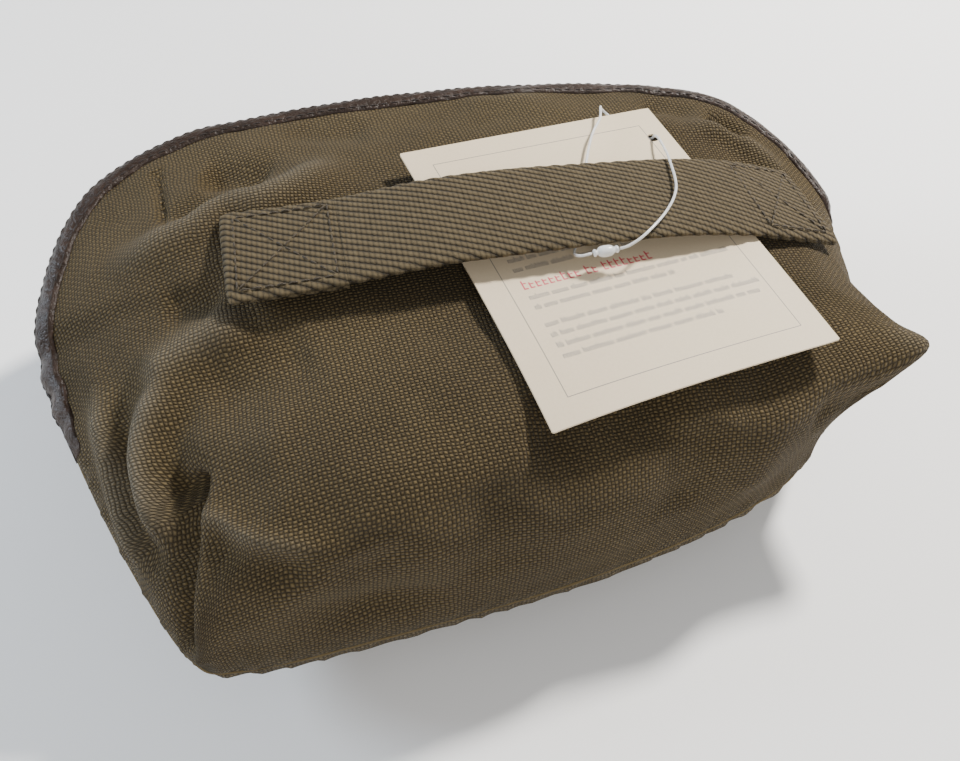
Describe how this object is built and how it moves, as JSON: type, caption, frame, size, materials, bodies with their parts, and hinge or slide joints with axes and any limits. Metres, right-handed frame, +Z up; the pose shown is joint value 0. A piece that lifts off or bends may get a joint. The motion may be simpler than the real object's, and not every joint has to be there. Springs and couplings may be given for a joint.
{
  "type": "treat pouch",
  "caption": "Dome-topped canvas zip pouch with boxed base corners, leather-look zip binding, a sewn webbing handle and a swing tag on a locking loop.",
  "frame": {"origin": "on the flat of the back panel that the pouch lies on, below the middle of the front panel", "axes": "+X along the pouch to the right, +Y from the base seam to the zip, +Z up from the back panel to the front panel"},
  "size_m": [0.2803, 0.1941, 0.0948],
  "materials": {
    "canvas": "coarse plain-weave canvas, olive brown",
    "lining": "thin woven lining, colour guessed",
    "faux_leather": "smooth dark brown leather-look strip",
    "tape": "woven zip and seam tape, dark brown",
    "nylon": "nylon coil, satin",
    "metal": "aged brass plate",
    "webbing": "ribbed cotton webbing, olive brown",
    "thread": "matching sewing thread",
    "paper": "uncoated cream card",
    "plastic": "clear polypropylene filament"
  },
  "bodies": {
    "pouch": {"front_panel": "canvas", "back_panel": "canvas", "front_lining": "lining", "back_lining": "lining", "binding_front": "faux_leather", "binding_back": "faux_leather", "zip_tape_front": "tape", "zip_tape_back": "tape", "zip_coil_front": "nylon", "zip_coil_back": "nylon", "zip_stop_left": "metal", "zip_stop_right": "metal", "side_seam_tape_left": "tape", "side_seam_tape_right": "tape", "base_seam_tape": "tape", "handle_end_left": "webbing", "handle_end_right": "webbing", "handle_stitch_left": "thread", "handle_stitch_right": "thread", "tag_loop": "plastic", "tag_bead": "plastic"},
    "slider": {"slider_body": "metal"},
    "pull": {"pull_tab": "metal"},
    "handle": {"handle_strap": "webbing"},
    "tag": {"hang_tag": "paper"}
  },
  "joints": [
    {"name": "zip_travel", "type": "hinge", "parent": "pouch", "child": "slider", "pos_m": [-0.022, -0.29882, -0.02526], "axis": [0, -0.225, 0.9744], "range_deg": [0, 22]},
    {"name": "pull_flip", "type": "hinge", "parent": "slider", "child": "pull", "pos_m": [0.0788, 0.0955, 0.0658], "axis": [0, -0.225, 0.9744], "range_deg": [-165, 0]},
    {"name": "tag_swing", "type": "hinge", "parent": "pouch", "child": "tag", "pos_m": [0.0695, 0.0479, 0.0822], "axis": [0.0721, -0.0181, 0.9972], "range_deg": [-20, 0], "deforming": ["tag_loop"]},
    {"name": "handle_lift", "type": "slide", "parent": "pouch", "child": "handle", "axis": [0, 0, 1], "range_m": [0, 0.012], "deforming": ["handle_strap"]}
  ]
}
